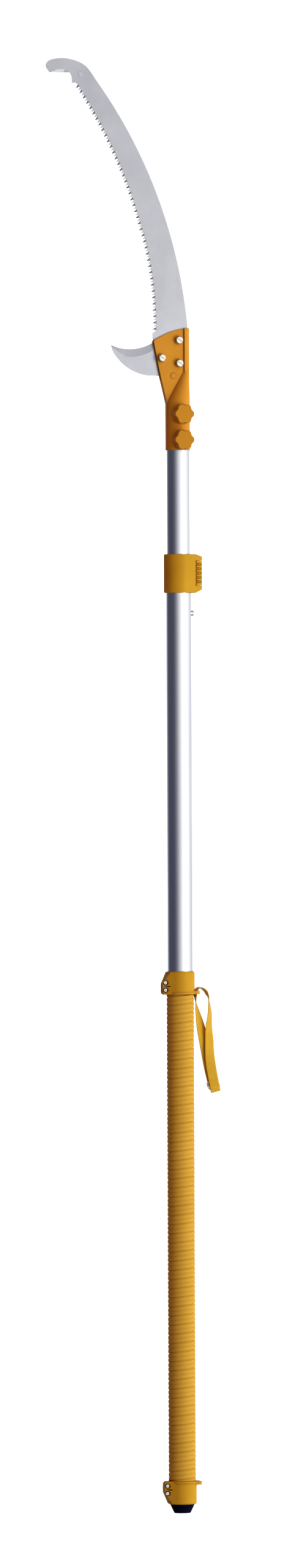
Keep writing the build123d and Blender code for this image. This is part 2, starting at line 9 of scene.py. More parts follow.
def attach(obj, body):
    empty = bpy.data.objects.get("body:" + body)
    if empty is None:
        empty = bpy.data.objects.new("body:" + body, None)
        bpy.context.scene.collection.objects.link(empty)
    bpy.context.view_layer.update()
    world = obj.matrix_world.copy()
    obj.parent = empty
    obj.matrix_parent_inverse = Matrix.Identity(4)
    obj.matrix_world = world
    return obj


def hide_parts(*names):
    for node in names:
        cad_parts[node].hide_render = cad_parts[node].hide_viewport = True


# Telescoping pole saw: materials, ground blades, smooth poles, ribbed grip and wrist strap round
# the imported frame. Lengths in the shape tables are millimetres and MM turns them into metres.

MM = 0.001

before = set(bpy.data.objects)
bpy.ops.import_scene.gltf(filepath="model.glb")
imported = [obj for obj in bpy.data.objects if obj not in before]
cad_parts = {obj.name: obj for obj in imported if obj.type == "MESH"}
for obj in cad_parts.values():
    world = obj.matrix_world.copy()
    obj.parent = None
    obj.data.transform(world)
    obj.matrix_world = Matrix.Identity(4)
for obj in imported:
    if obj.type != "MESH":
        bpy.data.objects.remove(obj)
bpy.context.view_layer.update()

# ---- saw blade, as in the frame ----
TOOTH_PITCH = 5.2
TOOTH_DEPTH = 6.5
TOOTH_START = 0.6                  # place of the first tip, in pitches from the top of the teeth
TOOTH_RISE, TOOTH_FALL = 3.1, 1.3  # along the edge, from a tip to the roots above and below it
SPINE_ARC = (-775.5, 1899.7, 796.3)          # centre x, centre z, radius
SPINE_BOTTOM_Z = 1974.0
EDGE_ARC_UPPER = (-826.7, 1920.7, 788.3)
EDGE_ARC_LOWER = (-591.5, 1977.5, 547.1)
TEETH_TOP_Z = 2371.4
EDGE_JOIN_Z = 2130.6
TEETH_BOTTOM_Z = 1964.4
BLADE_TIP_Z = 2380.0
SAW_BACK, SAW_FRONT = -0.25, -1.75
SICKLE_BACK, SICKLE_FRONT = 1.75, -0.25
BLADE_BOLTS = [(0.0, 1952.3), (-30.5, 1922.4), (0.5, 1914.0)]
BOLT_HOLE = 2.6
TIP_RIVET = (-169.7, 2392.7, 4.2)

# ---- grinding of the blades ----
GROUND_EDGE = 0.2                  # thickness left at a ground edge
FACET_WIDTH = 1.5                  # width of the bevel on a tooth's upper flank, at the root
LOWER_FACET = 0.75                 # the lower flank's bevel, as a share of the upper one
LAND_SHIFT, LAND_DEPTH = 0.2, 2.3  # top of a tooth's flat land: above its tip, and behind it
BAND_WIDTH = 13.0                  # full width of the sickle's ground band
BAND_GROWTH = 3.0                  # the band is full after 1 / BAND_GROWTH of the edge
BAND_ROUNDING = 0.7                # below 1, it widens fastest near the sickle's tip
BAND_SLANT = 1.5                   # sideways lean of the band's inner line at the tip

# ---- poles ----
POLE_WALL = 1.4
UPPER_POLE, UPPER_POLE_ENDS = (19.25, 16.0), (60.0, 1845.0)
LOWER_POLE, LOWER_POLE_ENDS = (21.1, 17.85), (14.5, 1590.0)
KNOB_HEIGHTS, KNOB_HOLE = [1828.9, 1786.0], 3.2
BUTTON_Z, POLE_TRAVEL = 1498.0, 1380.0
SHOE_WINDOW = (1550.4, 1579.0)
WINDOW_SIDES = (-6.0, 6.0)                    # along Y
CLIP_HOLE, BUTTON_HOLE = 4.8, 4.53           # radius in the upper pole and in the lower pole
HOLE_MARGIN, WINDOW_MARGIN = 9, 5            # from an opening to the rings of points beside it
THROUGH_CUT = (-25, 25)                      # reach of a cutter through both walls
UPPER_CUT, LOWER_CUT = (10, 25), (10, 30)    # reach of a cutter through one wall, along X

# ---- grip ----
GRIP_OVAL = (23.0, 19.8)
GRIP_INNER = (21.15, 17.9)
GRIP_BOTTOM, GRIP_TOP = 41.1, 875.0
RIB_PITCH = 15.2
DEEP_GROOVE = (1.25, 1.5)          # depth and half width
SHALLOW_GROOVE = (0.75, 1.3)
GROOVE_SIDES = 0.8                 # below 1, a groove's sides are steepest at the surface
RIB_CROWN = 0.22                   # how far a rib falls from its middle to its sides

# ---- wrist strap ----
STRAP_WIDTH, STRAP_THICK = 17.5, 1.5


# =============================== shapes ===============================

def arc_x(arc, z):
    return arc[0] + sqrt(arc[2] ** 2 - (z - arc[1]) ** 2)


def arc_angle(arc, z):
    return atan2(z - arc[1], arc_x(arc, z) - arc[0])


def arc_run(arc, z0, z1, steps):
    """Points along the right side of a circle between two heights."""
    a0, a1 = arc_angle(arc, z0), arc_angle(arc, z1)
    angles = [a0 + (a1 - a0) * n / steps for n in range(steps + 1)]
    return [(arc[0] + arc[2] * cos(a), arc[1] + arc[2] * sin(a)) for a in angles]


def arc_through(p, q, r, steps):
    """Points on the circular arc from p through q to r."""
    a = Vector((p[0] - q[0], p[1] - q[1]))
    b = Vector((r[0] - q[0], r[1] - q[1]))
    cross = 2 * (a.x * b.y - a.y * b.x)
    cx = q[0] + (b.y * a.length_squared - a.y * b.length_squared) / cross
    cz = q[1] + (a.x * b.length_squared - b.x * a.length_squared) / cross
    radius = hypot(p[0] - cx, p[1] - cz)
    first = atan2(p[1] - cz, p[0] - cx)
    last = atan2(r[1] - cz, r[0] - cx)
    swing = (last - first + pi) % (2 * pi) - pi
    angles = [first + swing * n / steps for n in range(steps + 1)]
    return [(cx + radius * cos(t), cz + radius * sin(t)) for t in angles]


def smooth_run(rows, steps):
    """A smooth curve through rows of numbers (Catmull-Rom)."""
    padded = [[2 * a - b for a, b in zip(rows[0], rows[1])], *rows,
              [2 * a - b for a, b in zip(rows[-1], rows[-2])]]
    out = []
    for k in range(1, len(padded) - 2):
        p0, p1, p2, p3 = padded[k - 1:k + 3]
        for n in range(steps):
            t = n / steps
            out.append([0.5 * (2 * b + (c - a) * t + (2 * a - 5 * b + 4 * c - d) * t * t
                               + (3 * b - a - 3 * c + d) * t ** 3)
                        for a, b, c, d in zip(p0, p1, p2, p3)])
    return out + [list(rows[-1])]


def circle(x, z, radius):
    sides = 28
    return [(x + radius * cos(2 * pi * n / sides), z + radius * sin(2 * pi * n / sides))
            for n in range(sides)]


def new_piece(name, points, faces, slot, body, smooth=False):
    """A closed mesh piece from millimetre points, in the finish of its slot, riding on a body."""
    mesh = bpy.data.meshes.new(name)
    mesh.from_pydata([[c * MM for c in p] for p in points], [], faces)
    mesh.validate()
    shell = bmesh.new()
    shell.from_mesh(mesh)
    bmesh.ops.recalc_face_normals(shell, faces=shell.faces)
    shell.to_mesh(mesh)
    shell.free()
    mesh.update()
    mesh.materials.append(finish[slot])
    piece = bpy.data.objects.new(name, mesh)
    bpy.context.scene.collection.objects.link(piece)
    for polygon in mesh.polygons:
        polygon.use_smooth = smooth
    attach(piece, body)
    return piece


class Plate:
    """Points and faces of a ground plate: a front and a back drawn in X and Z, joined at the rim."""

    def __init__(self):
        self.points = []
        self.faces = []
        self.between = {}          # a point in the rim's thickness, by its point on the front
        self.bevels = set()        # numbers of the faces that are a tooth's bevels

    def add(self, spots, y):
        first = len(self.points)
        self.points += [(x, y, z) for x, z in spots]
        return list(range(first, first + len(spots)))

    def fill(self, loops, facing_front):
        """Fills outlines (the first is the outer one) with triangles."""
        order = [i for loop in loops for i in loop]
        flat = [[Vector((self.points[i][0], self.points[i][2], 0)) for i in loop] for loop in loops]
        for corners in tessellate_polygon(flat):
            face = [order[c] for c in corners]
            self.faces.append(self.turned(face, facing_front))

    def turned(self, face, facing_front):
        """The face with its outside towards -Y (the front) or +Y."""
        total = 0.0
        for here, there in zip(face, face[1:] + face[:1]):
            a, b = self.points[here], self.points[there]
            total += a[0] * b[2] - b[0] * a[2]
        return face if (total > 0) == facing_front else face[::-1]

    def add_facing(self, face, outward):
        """Adds a face so that its outside looks along a direction."""
        a, b, c = [Vector(self.points[i]) for i in face]
        self.faces.append(face if (b - a).cross(c - a).dot(outward) > 0 else face[::-1])

    def drill(self, holes, front_y, back_y):
        """Adds the walls of round holes. Returns the holes' outlines on the front and on the back."""
        fronts, backs = [], []
        for x, z, radius in holes:
            front = self.add(circle(x, z, radius), front_y)
            back = self.add(circle(x, z, radius), back_y)
            for n in range(len(front)):
                m = (n + 1) % len(front)
                self.faces.append([back[n], back[m], front[m], front[n]])
            fronts.append(front)
            backs.append(back)
        return fronts, backs


def edge_spot(distance):
    """Point and outward direction on the cutting edge, this far below the first tooth."""
    upper, lower = EDGE_ARC_UPPER, EDGE_ARC_LOWER
    start = arc_angle(upper, TEETH_TOP_Z)
    upper_length = (start - arc_angle(upper, EDGE_JOIN_Z)) * upper[2]
    if distance <= upper_length:
        arc = upper
        angle = start - distance / upper[2]
    else:
        arc = lower
        angle = arc_angle(lower, EDGE_JOIN_Z) - (distance - upper_length) / lower[2]
    side = (cos(angle), sin(angle))
    return (arc[0] + arc[2] * side[0], arc[1] + arc[2] * side[1]), side


def edge_length():
    upper, lower = EDGE_ARC_UPPER, EDGE_ARC_LOWER
    first = (arc_angle(upper, TEETH_TOP_Z) - arc_angle(upper, EDGE_JOIN_Z)) * upper[2]
    second = (arc_angle(lower, EDGE_JOIN_Z) - arc_angle(lower, TEETH_BOTTOM_Z)) * lower[2]
    return first + second


def edge_point(at, depth):
    """A point behind the line of the tooth tips."""
    tip, side = edge_spot(max(at, 0.0))
    return (tip[0] + side[0] * depth, tip[1] + side[1] * depth)


def ground_teeth(plate):
    """The teeth, ground in turn on the front and on the back. Returns the roots on both faces."""
    front_roots, back_roots = [], []
    for n in range(int(edge_length() / TOOTH_PITCH)):
        at = (n + TOOTH_START) * TOOTH_PITCH
        tip = edge_point(at, 0.0)
        crown = edge_point(at - LAND_SHIFT, LAND_DEPTH)
        high = edge_point(at - TOOTH_RISE, TOOTH_DEPTH)
        low = edge_point(at + TOOTH_FALL, TOOTH_DEPTH)
        inner_high = edge_point(at - TOOTH_RISE + FACET_WIDTH, TOOTH_DEPTH)
        inner_low = edge_point(at + TOOTH_FALL - LOWER_FACET * FACET_WIDTH, TOOTH_DEPTH)
        on_front = n % 2 == 0
        ground_y, flat_y = (SAW_FRONT, SAW_BACK) if on_front else (SAW_BACK, SAW_FRONT)
        thin = SAW_BACK - GROUND_EDGE if on_front else SAW_FRONT + GROUND_EDGE
        # ground side: a flat land in the middle, and a bevel down to each thin flank
        ground = plate.add([high, inner_high, inner_low, low, crown], ground_y)
        edge = plate.add([high, tip, low], thin)
        upper_bevel = [edge[0], edge[1], ground[4], ground[1]]
        lower_bevel = [edge[1], edge[2], ground[2], ground[4]]
        for bevel in (upper_bevel, lower_bevel):
            plate.bevels.add(len(plate.faces))
            plate.faces.append(plate.turned(bevel, on_front))
        plate.faces.append(plate.turned([ground[1], ground[4], ground[2]], on_front))
        # shoulders where the grinding stops at the roots
        outward = Vector((tip[0] - crown[0], 0, tip[1] - crown[1]))
        plate.add_facing([ground[0], edge[0], ground[1]], outward)
        plate.add_facing([ground[3], edge[2], ground[2]], outward)
        # flat side
        flat = plate.add([high, inner_high, inner_low, low, tip], flat_y)
        plate.faces.append(plate.turned([flat[0], flat[4], flat[3], flat[2], flat[1]], not on_front))
        # flanks
        flat_edge = [flat[0], flat[4], flat[3]]
        front_edge, back_edge = (edge, flat_edge) if on_front else (flat_edge, edge)
        for k in (0, 1):
            plate.faces.append([front_edge[k], front_edge[k + 1], back_edge[k + 1], back_edge[k]])
        front, back = (ground, flat) if on_front else (flat, ground)
        plate.between[front[0]], plate.between[front[3]] = edge[0], edge[2]
        front_roots.append(front[:4])
        back_roots.append(back[:4])
    return front_roots, back_roots


def saw_blade():
    plate = Plate()
    front_teeth, back_teeth = ground_teeth(plate)
    spine_top = (arc_x(SPINE_ARC, BLADE_TIP_Z), BLADE_TIP_Z)
    hook_end = (-224.8, 2394.9)
    hook = smooth_run([spine_top, (-159.1, 2404.6), (-178.3, 2414.8), (-202.5, 2418.9),
                       (-224.4, 2414.8), (-231.3, 2405.2), hook_end], steps=8)
    throat = smooth_run([(-188.7, 2394.6), (-185.6, 2387.8), (-185.0, 2377.3)], steps=5)
    heel = [(-44.3, 1963.5), (-44.3, 1955.0), (-38.5, 1936.0), (-35.0, 1911.0), (-9.0, 1901.5),
            (7.5, 1901.5), (9.4, 1930.0), (16.8, 1960.0)]
    spine = arc_run(SPINE_ARC, SPINE_BOTTOM_Z, BLADE_TIP_Z, steps=60)[:-1]
    # the hook's underside is ground on the front, from its end to the throat
    ground_line = [hook_end, (-213.4, 2394.8), (-200.5, 2394.7), (-188.7, 2394.6)]
    ground_inner = [(-223.3, 2396.2), (-211.4, 2399.6), (-197.5, 2399.9), (-188.7, 2394.6)]
    top = hook[:-1]
    rest = throat[1:] + [(-178.1, 2377.9)]

    def outline(y, teeth, underside):
        loop = plate.add(top, y) + plate.add(underside, y) + plate.add(rest, y)
        for tooth in teeth:
            loop += tooth
        return loop + plate.add(heel, y) + plate.add(spine, y)

    front = outline(SAW_FRONT, front_teeth, ground_inner[:-1] + ground_line[-1:])
    back = outline(SAW_BACK, back_teeth, ground_line)
    first = len(top)
    end = first + len(ground_line) - 1
    thin = plate.add(ground_line[:-1], SAW_BACK - GROUND_EDGE)
    edge = thin + [front[end]]
    for n in range(len(thin)):
        face = [edge[n], edge[n + 1], front[first + n + 1], front[first + n]]
        plate.faces.append(plate.turned(list(dict.fromkeys(face)), True))
    holes = [(x, z, BOLT_HOLE) for x, z in BLADE_BOLTS] + [TIP_RIVET]
    holes_front, holes_back = plate.drill(holes, SAW_FRONT, SAW_BACK)
    plate.fill([front] + holes_front, True)
    plate.fill([back] + holes_back, False)
    # rim: everything but the teeth's own flanks and roots
    tooth_of = {i: tooth for tooth in front_teeth for i in tooth}
    shown = list(front)
    shown[first:end] = thin
    shown.insert(first, front[first])
    matching = list(back)
    matching.insert(first, back[first])
    for n in range(len(shown)):
        m = (n + 1) % len(shown)
        here, there = shown[n], shown[m]
        if there in tooth_of.get(here, []):
            continue
        corners = [here, there, plate.between.get(there, there), matching[m], matching[n],
                   plate.between.get(here, here)]
        corners = list(dict.fromkeys(corners))
        if len(corners) > 2:
            plate.faces.append(corners)
    return plate


def sickle_blade():
    plate = Plate()
    tip, belly, heel = (-117.5, 1943.4), (-84.1, 1936.9), (-44.0, 1947.8)
    edge = arc_through(tip, belly, heel, steps=30)
    root = [(-38.0, 1948.6), (-20.0, 1946.0), (8.0, 1931.0), (8.0, 1905.0), (-5.0, 1897.0),
            (-34.8, 1892.6)]
    back_curve = smooth_run([(-34.8, 1892.6), (-62.5, 1894.9), (-90.0, 1907.2),
                             (-110.5, 1927.6), tip], steps=9)[1:-1]
    # the ground band narrows to nothing at the tip
    land = []
    for n, (x, z) in enumerate(edge[1:], start=1):
        share = n / (len(edge) - 1)
        width = BAND_WIDTH * min(1.0, share * BAND_GROWTH) ** BAND_ROUNDING
        land.append((x + BAND_SLANT * (1 - share), z - width))
    front_edge = plate.add(edge, SICKLE_BACK - GROUND_EDGE)
    front_land = plate.add(land, SICKLE_FRONT)
    front_rest = plate.add(root + back_curve, SICKLE_FRONT)
    back = plate.add(edge + root + back_curve, SICKLE_BACK)
    step = plate.add([edge[-1]], SICKLE_FRONT)
    for n in range(len(land) - 1):
        face = [front_edge[n + 1], front_edge[n + 2], front_land[n + 1], front_land[n]]
        plate.faces.append(plate.turned(face, True))
    plate.faces.append(plate.turned([front_edge[0], front_edge[1], front_land[0]], True))
    plate.faces.append([front_edge[-1], step[0], front_land[-1]])
    holes = [(x, z, BOLT_HOLE) for x, z in BLADE_BOLTS[1:]]
    holes_front, holes_back = plate.drill(holes, SICKLE_FRONT, SICKLE_BACK)
    land_loop = [front_edge[0]] + front_land + step + front_rest
    plate.fill([land_loop] + holes_front, True)
    plate.fill([back] + holes_back, False)
    shown = front_edge + front_rest
    for n in range(len(shown)):
        m = (n + 1) % len(shown)
        corners = [shown[n], shown[m], back[m], back[n]]
        if n == len(front_edge) - 1:
            corners = [shown[n], step[0], shown[m], back[m], back[n]]
        plate.faces.append(corners)
    return plate


def oval_tube(oval, heights):
    """A thin oval tube with a ring of points at each height, and with its ends closed."""
    around = 144
    points, faces = [], []
    for shrink in (0.0, POLE_WALL):
        for z in heights:
            for n in range(around):
                angle = 2 * pi * n / around
                points.append(((oval[0] - shrink) * cos(angle), (oval[1] - shrink) * sin(angle), z))
    inside = len(heights) * around
    last = (len(heights) - 1) * around
    for n in range(around):
        m = (n + 1) % around
        for r in range(len(heights) - 1):
            low, high = r * around, (r + 1) * around
            faces.append((low + n, low + m, high + m, high + n))
            faces.append((inside + low + m, inside + low + n, inside + high + n, inside + high + m))
        faces.append((m, n, inside + n, inside + m))
        faces.append((last + n, last + m, inside + last + m, inside + last + n))
    return points, faces


def cutter(points, faces):
    """A block from millimetre points, to cut a piece with."""
    mesh = bpy.data.meshes.new("Cutter")
    mesh.from_pydata([[c * MM for c in p] for p in points], [], faces)
    block = bpy.data.objects.new("Cutter", mesh)
    bpy.context.scene.collection.objects.link(block)
    return block


def round_cutter(z, radius, along, start, end):
    """A round bar along X or Y, to cut a hole with."""
    count = 40
    points = []
    for reach in (start, end):
        for n in range(count):
            turn = 2 * pi * n / count
            side, up = radius * cos(turn), z + radius * sin(turn)
            points.append((reach, side, up) if along == "X" else (-side, reach, up))
    faces = [tuple(range(count))[::-1], tuple(range(count, 2 * count))]
    faces += [(n, (n + 1) % count, count + (n + 1) % count, count + n) for n in range(count)]
    return cutter(points, faces)


def block_cutter(x, y, z):
    corners = [(i, j, k) for k in z for j in y for i in x]
    return cutter(corners, [(0, 2, 3, 1), (4, 5, 7, 6), (0, 1, 5, 4), (2, 6, 7, 3), (0, 4, 6, 2),
                            (1, 3, 7, 5)])


def cut_out(piece, blocks):
    """Cuts blocks out of a piece, and leaves it a plain mesh with sharp edges at the cuts."""
    sharp_from = radians(35.0)
    for block in blocks:
        cut = piece.modifiers.new("Cut", "BOOLEAN")
        cut.operation = "DIFFERENCE"
        cut.solver = "EXACT"
        cut.object = block
    graph = bpy.context.evaluated_depsgraph_get()
    mesh = bpy.data.meshes.new_from_object(piece.evaluated_get(graph))
    piece.modifiers.clear()
    piece.data = mesh
    mesh.set_sharp_from_angle(angle=sharp_from)
    for block in blocks:
        bpy.data.objects.remove(block)


def groove_depth(distance, depth, half_width):
    """How deep a groove is at this distance from its middle."""
    return depth * max(0.0, 1.0 - distance / half_width) ** GROOVE_SIDES


def rib_depth(phase):
    """How far the grip's surface lies in at this share of a turn: a deep and a shallow groove."""
    deep = abs((phase + 0.5) % 1.0 - 0.5) * RIB_PITCH
    shallow = abs(phase % 1.0 - 0.5) * RIB_PITCH
    inset = max(groove_depth(deep, *DEEP_GROOVE), groove_depth(shallow, *SHALLOW_GROOVE))
    crown = RIB_CROWN * (min(deep, shallow) / (RIB_PITCH / 4) - 1.0) ** 2
    return inset + crown


def grip_sleeve():
    """A tube whose outside is wound with ribs that climb to the right."""
    around, rings_per_pitch = 66, 24
    rings = rings_per_pitch * int((GRIP_TOP - GRIP_BOTTOM) / RIB_PITCH)
    points, faces = [], []
    for r in range(rings + 1):
        z = GRIP_BOTTOM + (GRIP_TOP - GRIP_BOTTOM) * r / rings
        for n in range(around):
            turn = n / around
            angle = 2 * pi * turn
            inset = rib_depth(z / RIB_PITCH - turn)
            points.append(((GRIP_OVAL[0] - inset) * cos(angle), (GRIP_OVAL[1] - inset) * sin(angle), z))
    for r in range(rings):
        for n in range(around):
            m = (n + 1) % around
            faces.append((r * around + n, r * around + m, (r + 1) * around + m, (r + 1) * around + n))
    outer_last = rings * around
    inner = len(points)
    for z in (GRIP_BOTTOM, GRIP_TOP):
        for n in range(around):
            angle = 2 * pi * n / around
            points.append((GRIP_INNER[0] * cos(angle), GRIP_INNER[1] * sin(angle), z))
    for n in range(around):
        m = (n + 1) % around
        faces.append((inner + n, inner + around + n, inner + around + m, inner + m))
        faces.append((n, inner + n, inner + m, m))
        faces.append((outer_last + n, outer_last + m, inner + around + m, inner + around + n))
    return points, faces


def strap_path():
    """Rows of x, y, z, turn of the width from X towards Y, and lean of the path, in degrees."""
    back = [(60.0, 3.0, 706.0, 0, -14), (57.6, 3.0, 716.0, 0, -14), (50.3, 2.6, 745.0, 0, -12),
            (41.9, 1.4, 785.0, 5, -12), (37.0, 0.8, 806.0, 17, -11), (32.3, 0.3, 826.0, 38, -10),
            (27.6, 0.0, 850.0, 70, -3), (27.0, 0.0, 866.0, 90, 0)]
    over = [(29.4, 0.0, 871.5, 90, 45), (35.0, 0.0, 874.4, 90, 92), (43.7, 0.0, 869.5, 90, 138),
            (48.0, 0.0, 862.0, 84, 154), (50.2, 0.0, 856.0, 72, 164)]
    front = [(52.1, 0.0, 836.0, 53, 178), (52.0, 0.0, 826.0, 47, 182), (50.4, -0.1, 806.0, 31, 181),
             (50.9, -0.8, 785.0, 17, 179), (51.1, -1.6, 765.0, 10, 177), (52.9, -2.4, 745.0, 0, 172),
             (56.4, -3.2, 724.0, 0, 169), (57.6, -4.5, 715.6, 0, 168), (58.1, -4.9, 712.6, 0, 168),
             (58.9, -3.6, 711.2, 0, 168), (59.6, -3.4, 708.0, 0, 167), (61.2, -3.4, 700.2, 0, 167)]
    return smooth_run(back + over + front, steps=6)


def strap_mesh():
    """Webbing with rounded selvedges. Returns points, faces and each point's place on the band."""
    half = [(-1.0, 0.0), (-0.985, 0.5), (-0.94, 0.86), (-0.8, 1.0), (-0.4, 1.0), (0.0, 1.0),
            (0.4, 1.0), (0.8, 1.0), (0.94, 0.86), (0.985, 0.5), (1.0, 0.0)]
    section = half + [(s, -t) for s, t in half[-2:0:-1]]
    points, faces, places = [], [], []
    path = strap_path()
    run = 0.0
    last = None
    for x, y, z, turn, lean in path:
        middle = Vector((x, y, z))
        run += (middle - last).length if last else 0.0
        last = middle
        way = Vector((sin(radians(lean)), 0, cos(radians(lean))))
        across = Vector((cos(radians(turn)), sin(radians(turn)), 0))
        across = (across - way * across.dot(way)).normalized()
        normal = way.cross(across).normalized()
        for s, t in section:
            points.append(middle + across * s * STRAP_WIDTH / 2 + normal * t * STRAP_THICK / 2)
            places.append((s * STRAP_WIDTH / 2 * MM, run * MM, 0.0))
    count = len(section)
    for r in range(len(path) - 1):
        for n in range(count):
            m = (n + 1) % count
            faces.append((r * count + n, r * count + m, (r + 1) * count + m, (r + 1) * count + n))
    faces.append(tuple(range(count))[::-1])
    faces.append(tuple(range((len(path) - 1) * count, len(path) * count)))
    return points, faces, places


# =============================== materials ===============================
# Tones are linear red, green and blue. Lengths on shader sockets are metres.

STEEL_DEEP, STEEL_LIGHT = (0.452, 0.455, 0.487), (0.51, 0.513, 0.545)
# Painted dark reflection: the teeth's bevels get a near-black tone.
BEVEL_PAINTED_DARK = (0.07, 0.07, 0.09)              # the teeth's bevels, darker than the plate
# The holder's edge tone is painted shade along its edges.
PAINT_DEEP, PAINT_LIGHT, PAINT_EDGE_SHADE = (0.76, 0.37, 0.052), (0.81, 0.405, 0.06), (0.30, 0.11, 0.02)
KNOB_DEEP, KNOB_LIGHT = (0.68, 0.335, 0.042), (0.73, 0.365, 0.048)
ORANGE_DEEP, ORANGE_LIGHT = (0.68, 0.385, 0.036), (0.73, 0.425, 0.044)
# Edge tone of the orange plastics: a painted highlight along their edges.
ORANGE_EDGE_HIGHLIGHT = (0.76, 0.50, 0.08)
GRIP_DEEP, GRIP_LIGHT = (0.73, 0.445, 0.075), (0.78, 0.485, 0.09)
# Painted shade in grooves and corners: the share of each colour that stays there.
GROOVE_SHADE_SHARE = (0.42, 0.20, 0.25)            # how much of each colour a groove keeps
# The foot's edge tone is a painted highlight along its edges.
FOOT_DEEP, FOOT_LIGHT, FOOT_EDGE_HIGHLIGHT = (0.003, 0.004, 0.028), (0.005, 0.006, 0.038), (0.02, 0.02, 0.06)
# The bushes' edge tone is a painted highlight along their edges.
BUSH_DEEP, BUSH_LIGHT, BUSH_EDGE_HIGHLIGHT = (0.02, 0.02, 0.022), (0.035, 0.035, 0.037), (0.06, 0.06, 0.06)
# The webbing's thread tone falls to painted shade where the weave lies low.
THREAD_PAINTED_SHADE, THREAD_LIGHT = (0.72, 0.42, 0.025), (0.80, 0.51, 0.04)
WORN_THREAD = (0.70, 0.37, 0.03)
PLASTIC_SHINE = 0.11
PLATE_MOTTLE = 0.86                          # share of its tone that plate keeps in its darker spots


def add(tree, kind, **values):
    """A shader node with its settings, or else its inputs, given by name."""
    node = tree.nodes.new("ShaderNode" + kind)
    for key, value in values.items():
        if hasattr(node, key):
            setattr(node, key, value)
        else:
            node.inputs[key.replace("_", " ")].default_value = value
    return node


def start_material(name):
    """A new material. Returns it with its tree and its shader."""
    material = bpy.data.materials.new(name)
    material.use_nodes = True
    tree = material.node_tree
    return material, tree, tree.nodes["Principled BSDF"]


def place(tree, stretch=(1, 1, 1)):
    """The point on the part, stretched along the axes, as texture coordinates."""
    where = add(tree, "TexCoord")
    mapping = add(tree, "Mapping")
    mapping.inputs["Scale"].default_value = stretch
    tree.links.new(where.outputs["Object"], mapping.inputs["Vector"])
    return mapping.outputs["Vector"]


def noise(tree, scale, stretch=(1, 1, 1), detail=3.0, rough=0.55):
    node = add(tree, "TexNoise", Scale=scale, Detail=detail, Roughness=rough)
    tree.links.new(place(tree, stretch), node.inputs["Vector"])
    return node.outputs["Fac"]


def spread(tree, value, low, high, from_low=0.3, from_high=0.7):
    """Maps a texture's middle range to a range of a plain number."""
    node = add(tree, "MapRange")
    node.inputs["From Min"].default_value = from_low
    node.inputs["From Max"].default_value = from_high
    node.inputs["To Min"].default_value = low
    node.inputs["To Max"].default_value = high
    tree.links.new(value, node.inputs["Value"])
    return node.outputs["Result"]


def two_tone(tree, value, low, high, from_low=0.3, from_high=0.7):
    """A colour between two, by a texture."""
    node = add(tree, "ValToRGB")
    first, last = node.color_ramp.elements
    first.position, last.position = from_low, from_high
    first.color, last.color = (*low, 1), (*high, 1)
    tree.links.new(value, node.inputs["Fac"])
    return node.outputs["Color"]


def bump(tree, value, strength, depth, normal=None):
    node = add(tree, "Bump", Strength=strength, Distance=depth)
    tree.links.new(value, node.inputs["Height"])
    if normal is not None:
        tree.links.new(normal, node.inputs["Normal"])
    return node.outputs["Normal"]


def soft_edges(tree, radius):
    """A normal rounded over the edges, for a moulded, painted or plated edge."""
    node = add(tree, "Bevel", samples=4, Radius=radius)
    return node.outputs["Normal"]


def painted_edge_share(tree, rounded):
    """0 on a face and near 1 where the rounded normal leaves the true one, at an edge: where the edge
    tone is painted.
    """
    on_face, on_edge = 0.995, 0.88
    facing = add(tree, "NewGeometry")
    dot = add(tree, "VectorMath", operation="DOT_PRODUCT")
    tree.links.new(rounded, dot.inputs[0])
    tree.links.new(facing.outputs["Normal"], dot.inputs[1])
    return spread(tree, dot.outputs["Value"], 0.0, 1.0, on_face, on_edge)


def groove_shade_mask(tree, reach):
    """1 on open faces, falling towards 0 in grooves and corners, where the colour gets painted shade.
    """
    deep_in, fully_open = 0.25, 0.95
    painted_shade = add(tree, "AmbientOcclusion", samples=8, Distance=reach)
    return spread(tree, painted_shade.outputs["AO"], 0.0, 1.0, deep_in, fully_open)


def mixed(tree, share, low, high):
    """A colour between two, each a tone or another node's output, by a share."""
    node = add(tree, "Mix", data_type="RGBA")
    tree.links.new(share, node.inputs["Factor"])
    for value, socket in ((low, node.inputs["A"]), (high, node.inputs["B"])):
        if isinstance(value, tuple):
            socket.default_value = (*value, 1)
        else:
            tree.links.new(value, socket)
    return node.outputs["Result"]


def coloured_plastic(name, deep, light, edge, grain=1500.0, gloss=(0.36, 0.5), relief=0.00006,
                     rounding=0.0005, painted_shade=0.004):
    """Moulded plastic, rubber or paint: mottled, finely grained, with painted shade in its grooves and
    a painted tone on its edges.
    """
    material, tree, shader = start_material(name)
    cloud = noise(tree, 26.0, detail=4.0)
    fine = noise(tree, grain, detail=2.0)
    colour = two_tone(tree, cloud, deep, light)
    if rounding:
        rounded = soft_edges(tree, rounding)
        # Edges painted in the edge tone: painted highlight on the plastics, painted shade on the
        # holder's paint.
        colour = mixed(tree, painted_edge_share(tree, rounded), colour, edge)
    else:
        rounded = None
    # Painted shade: grooves and corners are darkened towards a share of the deep tone.
    groove_shade_tone = tuple(c * s for c, s in zip(deep, GROOVE_SHADE_SHARE))
    colour = mixed(tree, groove_shade_mask(tree, painted_shade), groove_shade_tone, colour)
    tree.links.new(colour, shader.inputs["Base Color"])
    tree.links.new(spread(tree, noise(tree, 90.0), *gloss), shader.inputs["Roughness"])
    tree.links.new(bump(tree, fine, 0.35, relief, rounded), shader.inputs["Normal"])
    shader.inputs["Specular IOR Level"].default_value = PLASTIC_SHINE
    return material


def drawn_aluminium():
    """Anodised extruded tube: fine die lines along its length."""
    material, tree, shader = start_material("Drawn_aluminium")
    lines = noise(tree, 1100.0, (1, 1, 0.004), detail=2.0)
    broad = noise(tree, 70.0, (1, 1, 0.02), detail=3.0)
    tone = two_tone(tree, broad, (0.75, 0.76, 0.80), (0.84, 0.845, 0.87))
    tree.links.new(tone, shader.inputs["Base Color"])
    tree.links.new(spread(tree, lines, 0.25, 0.34), shader.inputs["Roughness"])
    tree.links.new(bump(tree, lines, 0.12, 0.00003), shader.inputs["Normal"])
    shader.inputs["Metallic"].default_value = 1.0
    return material


